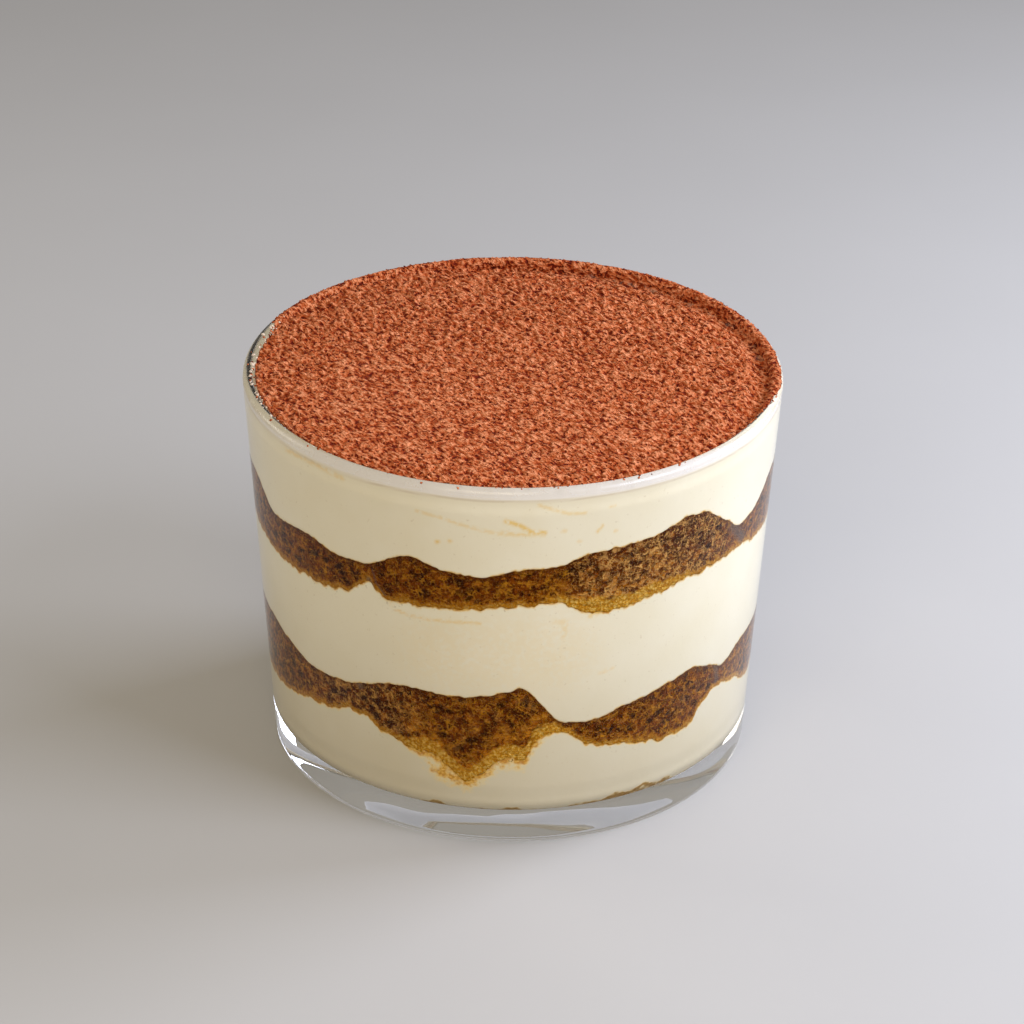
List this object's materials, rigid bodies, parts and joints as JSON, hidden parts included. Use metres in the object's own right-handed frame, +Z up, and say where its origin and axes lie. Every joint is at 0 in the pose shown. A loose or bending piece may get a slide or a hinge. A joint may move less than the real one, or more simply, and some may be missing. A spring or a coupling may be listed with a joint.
{
  "type": "tiramisu in a glass tumbler",
  "caption": "Layered tiramisu in a low clear glass tumbler: cream and coffee-soaked sponge in wavy layers under a dusting of cocoa.",
  "frame": {"origin": "middle of the glass's foot, on the surface it stands on", "axes": "+Z up along the axis of the glass, -Y towards the front, +X to the right of it"},
  "size_m": [0.084, 0.084, 0.064],
  "materials": {
    "clear_glass": "clear polished soda-lime glass",
    "cream": "smooth whipped mascarpone cream, softly glossy where it is pressed on the glass",
    "sponge": "open brown crumb soaked with coffee, moist",
    "cocoa": "dry reddish-brown cocoa powder, dull and grainy"
  },
  "bodies": {
    "root": {"glass": "clear_glass", "cream_bottom": "cream", "sponge_lower": "sponge", "cream_middle": "cream", "sponge_upper": "sponge", "cream_top": "cream", "cocoa": "cocoa"}
  },
  "joints": []
}
